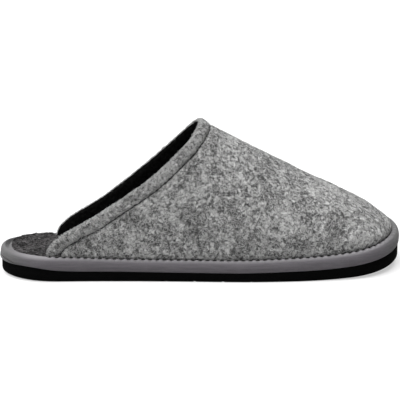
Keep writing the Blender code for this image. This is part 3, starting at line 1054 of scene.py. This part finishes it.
class Surface:
    """A material's node tree, with short calls that add nodes and join them."""

    def __init__(self, name, roughness, specular, sheen=0.0, sheen_roughness=0.5):
        self.material = bpy.data.materials.new(name)
        self.material.use_nodes = True
        self.tree = self.material.node_tree
        self.shader = self.tree.nodes["Principled BSDF"]
        self.shader.inputs["Roughness"].default_value = roughness
        self.shader.inputs["Specular IOR Level"].default_value = specular
        self.shader.inputs["Sheen Weight"].default_value = sheen
        self.shader.inputs["Sheen Roughness"].default_value = sheen_roughness
        self.place = self.add("ShaderNodeTexCoord").outputs["Object"]

    def add(self, kind, **settings):
        node = self.tree.nodes.new(kind)
        for name, value in settings.items():
            setattr(node, name, value)
        return node

    def put(self, socket, value):
        """Joins a socket to another node's output, or sets it to a constant."""
        if isinstance(value, bpy.types.NodeSocket):
            self.tree.links.new(value, socket)
        else:
            socket.default_value = value

    def fill(self, node, **values):
        """Puts values into a node's inputs, whose names are given with _ for a space."""
        for name, value in values.items():
            self.put(node.inputs[name.replace("_", " ")], value)

    def moved(self, shift=(0, 0, 0), scale=(1, 1, 1)):
        node = self.add("ShaderNodeMapping")
        self.fill(node, Vector=self.place, Location=shift, Scale=scale)
        return node.outputs["Vector"]

    def noise(self, size, detail=2.0, rough=0.5, warp=0.0, place=None):
        """Noise whose features are about `size` metres across."""
        node = self.add("ShaderNodeTexNoise")
        self.fill(node, Vector=place or self.place, Scale=1 / size, Detail=detail)
        self.fill(node, Roughness=rough, Distortion=warp)
        return node.outputs["Fac"]

    def math(self, operation, a, b=0.0, c=0.0):
        node = self.add("ShaderNodeMath", operation=operation)
        for socket, value in zip(node.inputs, (a, b, c)):
            self.put(socket, value)
        return node.outputs["Value"]

    def between(self, value, low, high):
        """0 up to `low`, 1 from `high` on, and smooth between them."""
        node = self.add("ShaderNodeMapRange", interpolation_type="SMOOTHSTEP")
        self.fill(node, Value=value, From_Min=low, From_Max=high)
        return node.outputs["Result"]

    def mix(self, share, one, other):
        node = self.add("ShaderNodeMix", data_type="RGBA")
        self.fill(node, Factor=share, A=one, B=other)
        return node.outputs["Result"]

    def colour(self, value):
        self.put(self.shader.inputs["Base Color"], value)

    def bump(self, height, depth):
        """Bump of a height from 0 to 1 that stands for `depth` metres."""
        node = self.add("ShaderNodeBump")
        self.fill(node, Height=height, Distance=depth)
        self.put(self.shader.inputs["Normal"], node.outputs["Normal"])

    def hairs(self, size, lines, width, shift):
        """Thin curled lines, as loose wool fibres lie: level lines of a warped noise."""
        field = self.noise(size, 1.0, 0.4, 0.6, self.moved(shift))
        saw = self.math("PINGPONG", self.math("MULTIPLY", field, lines), 0.5)
        return self.math("SUBTRACT", 1.0, self.between(saw, width * 0.3, width))


def grey(value, tint=(1.0, 1.0, 1.0)):
    return (*(value * share for share in tint), 1.0)


def felt_surface(name, felt):
    """Mélange wool felt: dark and light wool in clumps and specks, with curled single fibres."""
    made = Surface(name, roughness=1.0, specular=0.12, sheen=felt.sheen, sheen_roughness=0.6)
    shift = felt.shift
    tone = FELT_TONE
    for layer, move in ((CLUMPS, (shift, 0, 0)), (CLOUDS, (shift, shift, 0)), (SPECKS, (0, shift, 0))):
        patches = made.noise(layer.size, 2.0, layer.rough, layer.warp, made.moved(move))
        tone = made.math("MULTIPLY_ADD", made.math("SUBTRACT", patches, 0.5), layer.share, tone)
    pale = made.hairs(0.0060, 5.0, 0.13, (0.31 + shift, 0.0, 0.0))
    deep = made.hairs(0.0052, 5.0, 0.11, (0.0, 0.47 + shift, 0.0))
    tone = made.math("MULTIPLY_ADD", pale, PALE_HAIRS, tone)
    tone = made.math("MULTIPLY_ADD", deep, DEEP_HAIRS, tone)
    dark, light = grey(felt.dark, felt.tint), grey(felt.light, felt.tint)
    made.colour(made.mix(made.between(tone, 0.0, 1.0), dark, light))
    nap = made.math("MULTIPLY_ADD", made.noise(0.0005, 2.0, 0.7), 0.5, tone)
    made.bump(nap, FELT_RELIEF)
    return made.material


def wool_surface(name, value):
    """Loose fibres of one shade, which varies a little along them."""
    made = Surface(name, roughness=0.9, specular=0.15)
    share = made.noise(0.002, 2.0)
    made.colour(made.mix(share, grey(value * 0.8, WOOL_TINT), grey(value * 1.2, WOOL_TINT)))
    return made.material


def band_surface():
    """Brushed cloth pulled tight round the platform, with fine streaks along it, and a painted
    highlight with wear along its crest.
    """
    made = Surface("grey_band_cloth", roughness=0.85, specular=0.2, sheen=0.10)
    streaks = made.noise(0.012, 4.0, 0.6, 0.2, made.moved(scale=(1, 1, 9)))
    nap = made.noise(0.0006, 2.0, 0.6)
    share = made.math("MULTIPLY_ADD", made.math("SUBTRACT", nap, 0.5), 0.5, streaks)
    streaked = made.between(share, 0.2, 0.8)
    side = made.mix(streaked, grey(BAND_DARK, HEATHER_TINT), grey(BAND_LIGHT, HEATHER_TINT))
    ends = made.mix(streaked, grey(BAND_DARK), grey(BAND_LIGHT))
    along = made.add("ShaderNodeSeparateXYZ")
    made.fill(along, Vector=made.place)
    from_middle = made.math("ABSOLUTE", along.outputs["X"])
    at_ends = made.between(from_middle, BAND_END_FROM * LENGTH, BAND_END_TO * LENGTH)
    # Painted highlight and wear on the crest, less of it at the band's ends
    crest_highlight_and_wear = made.add("ShaderNodeAttribute", attribute_name="crest_highlight_and_wear").outputs["Fac"]
    crest_highlight_and_wear = made.math("MULTIPLY", crest_highlight_and_wear, made.math("MULTIPLY_ADD", at_ends, -BAND_END_LESS_HIGHLIGHT, 1.0))
    made.colour(made.mix(crest_highlight_and_wear, made.mix(at_ends, side, ends), grey(BAND_HIGHLIGHT_AND_WEAR, HIGHLIGHT_AND_WEAR_TINT)))
    made.bump(share, 0.00018)
    return made.material


def foam_surface():
    """Black foam with closed pores."""
    made = Surface("black_foam", roughness=0.9, specular=0.03)
    cells = made.add("ShaderNodeTexVoronoi")
    made.fill(cells, Vector=made.place, Scale=1 / 0.0011)
    share = made.noise(0.004, 3.0)
    made.colour(made.mix(share, grey(0.0012), grey(0.0026)))
    made.bump(made.between(cells.outputs["Distance"], 0.05, 0.5), 0.00008)
    return made.material


def fleece_surface():
    """Black lining fleece with a short matted pile."""
    made = Surface("black_fleece", roughness=1.0, specular=0.05)
    tufts = made.noise(0.0022, 3.0, 0.6, 0.5)
    made.colour(made.mix(made.between(tufts, 0.35, 0.75), grey(0.0020), grey(0.009)))
    made.bump(tufts, 0.0006)
    return made.material


def thread_surface():
    """Dark sewing thread, its plies twisted round each other."""
    made = Surface("dark_thread", roughness=0.7, specular=0.3)
    share = made.noise(0.0004, 2.0)
    made.colour(made.mix(share, grey(0.012), grey(0.040)))
    made.bump(share, 0.00005)
    return made.material


def floor_surface():
    """Pale paper. Part of its white is a glow that doesn't light the shoe from below."""
    made = Surface("pale_floor", roughness=0.9, specular=0.0)
    made.shader.inputs["Emission Color"].default_value = grey(1.0)
    seen = made.add("ShaderNodeLightPath").outputs["Is Camera Ray"]
    made.put(made.shader.inputs["Emission Strength"], made.math("MULTIPLY", seen, FLOOR_GLOW))
    share = made.noise(0.6, 3.0)
    made.colour(made.mix(share, grey(FLOOR_GREY), grey(FLOOR_GREY + 0.02)))
    return made.material


# Studio


def make_floor():
    shape = bmesh.new()
    bmesh.ops.create_grid(shape, x_segments=8, y_segments=8, size=FLOOR_HALF)
    mesh = bpy.data.meshes.new("floor")
    shape.to_mesh(mesh)
    shape.free()
    mesh.materials.append(floor_surface())
    add_object("floor", mesh)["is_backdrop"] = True


def make_world():
    """A white room to the camera, which lights the shoe with a dimmer and even grey."""
    world = bpy.data.worlds.new("studio")
    world.use_nodes = True
    bpy.context.scene.world = world
    tree = world.node_tree
    light = tree.nodes["Background"]
    seen = tree.nodes.new("ShaderNodeBackground")
    for node, strength in ((light, ROOM_LIGHT), (seen, 1.0)):
        node.inputs["Color"].default_value = grey(1.0)
        node.inputs["Strength"].default_value = strength
    path = tree.nodes.new("ShaderNodeLightPath")
    join = tree.nodes.new("ShaderNodeMixShader")
    output = tree.nodes["World Output"]
    tree.links.new(path.outputs["Is Camera Ray"], join.inputs[0])
    tree.links.new(light.outputs[0], join.inputs[1])
    tree.links.new(seen.outputs[0], join.inputs[2])
    tree.links.new(join.outputs[0], output.inputs["Surface"])


def make_lamps():
    for row in LAMPS:
        lamp = bpy.data.lights.new(row.name, "SUN")
        lamp.energy = row.strength
        lamp.angle = math.radians(row.width)
        turned = Vector(row.source).to_track_quat("Z", "Y").to_euler()
        add_object(row.name, lamp).rotation_euler = turned


def make_camera():
    """The photograph's view, fitted to the outline of the sole, the collar and the toe."""
    turn, rise = math.radians(CAMERA_AZIMUTH), math.radians(CAMERA_ELEVATION)
    back = Vector((math.sin(turn) * math.cos(rise), -math.cos(turn) * math.cos(rise), math.sin(rise)))
    target = heel_point() + Vector(CAMERA_TARGET)
    lens = bpy.data.cameras.new("camera")
    lens.sensor_width = SENSOR_WIDTH
    lens.sensor_fit = "HORIZONTAL"
    lens.lens = CAMERA_LENS
    camera = add_object("camera", lens)
    camera.location = target + back * CAMERA_DISTANCE
    camera.rotation_euler = (-back).to_track_quat("-Z", "Y").to_euler()
    bpy.context.scene.camera = camera


def facing_out(centre, normal):
    """1 on the outside of the upper and 0 on its inside and below the crest."""
    outside = np.sum((centre - OUTSIDE_MIDDLE) * normal * OUTSIDE_WEIGHT, axis=-1) > 0
    return outside & (centre[:, 2] > feather(centre[:, 0]) + OUTSIDE_MARGIN)


def on_vamp(centre, normal):
    """1 on the outside of the vamp, without the edge that it turns to the collar."""
    return facing_out(centre, normal) & (normal[:, 0] > SEAM_FACING)


def on_rim(centre, normal):
    """1 on the collar's free edge, which faces back and up."""
    return facing_out(centre, normal) & (normal @ RIM_FACING > RIM_WITHIN)


def open_heel(centre, normal):
    """1 on the footbed's upper face where the collar leaves it open."""
    return (normal[:, 2] > 0.5) & (centre[:, 0] < OPEN_HEEL)


# Loose fibres. Lift is how far they rise off the felt, keep says where they lie, and stand is the
# share of its length by which a fibre's free end sticks up.
Fibres = namedtuple("Fibres", "name wool count length thickness lift keep seed stand", defaults=[0.0])
VAMP_FIBRES = [
    Fibres("felt_fibres_pale", "pale_wool", 9000, 0.0046, 0.00024, 0.00020, on_vamp, 31),
    Fibres("felt_fibres_dark", "dark_wool", 5500, 0.0038, 0.00022, 0.00016, on_vamp, 32),
]
COLLAR_FIBRES = [
    Fibres("collar_fibres_pale", "pale_wool", 2600, 0.0040, 0.00022, 0.0002, facing_out, 33),
    Fibres("collar_fibres_dark", "dark_wool", 1500, 0.0040, 0.00020, 0.0002, facing_out, 34),
    # Only pale fibres on the rim that faces up and back: real fuzz, and a painted highlight along the
    # collar's rim
    Fibres("rim_fibres_highlight", "pale_wool", 900, 0.0026, 0.00024, 0.0003, on_rim, 35, 0.25),
]
FOOTBED_FIBRES = [
    Fibres("footbed_fibres_ash", "ash_wool", 700, 0.0040, 0.00026, 0.0002, open_heel, 36),
    Fibres("footbed_fibres_black", "black_wool", 900, 0.0040, 0.00030, 0.0002, open_heel, 37),
]


def corners(bounds):
    return [[float(value) for value in corner] for corner in bounds]


def main():
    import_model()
    cad_box = corners(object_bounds())

    vamp = make_vamp(felt_surface("grey_felt", GREY_FELT))
    # The collar is made of a lighter copy of the grey felt: painted light where the collar catches the
    # light
    collar = make_collar(felt_surface("grey_felt_lit_collar", LIT_COLLAR_FELT))
    lining = make_lining(fleece_surface())
    band = make_band(band_surface())
    footbed = make_insole(felt_surface("charcoal_felt", CHARCOAL_FELT))
    outsole = make_outsole(foam_surface())
    wools = {name: wool_surface(name, value) for name, value in WOOLS.items()}
    fibres = [make_fibres(row, vamp, wools[row.wool]) for row in VAMP_FIBRES]
    fibres += [make_fibres(row, collar, wools[row.wool]) for row in COLLAR_FIBRES]
    footbed_fibres = [make_fibres(row, footbed, wools[row.wool]) for row in FOOTBED_FIBRES]
    thread = thread_surface()
    crest_stitches = make_crest_stitches(thread)
    collar_stitches = make_collar_stitches(thread)
    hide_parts("upper")
    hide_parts("collar_band")
    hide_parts("covered_midsole")
    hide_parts("insole")
    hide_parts("outsole")

    slots = {
        "grey_felt": [vamp, collar, *fibres],
        "band_cloth": [band],
        "black_foam": [outsole],
        "charcoal_felt": [footbed, *footbed_fibres],
        None: [lining, crest_stitches, collar_stitches],
    }
    for slot, pieces in slots.items():
        for piece in pieces:
            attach(piece, "root")

    make_floor()
    make_world()
    make_lamps()
    make_camera()
    bpy.context.scene.view_settings.view_transform = "Standard"

    corners(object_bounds())


main()
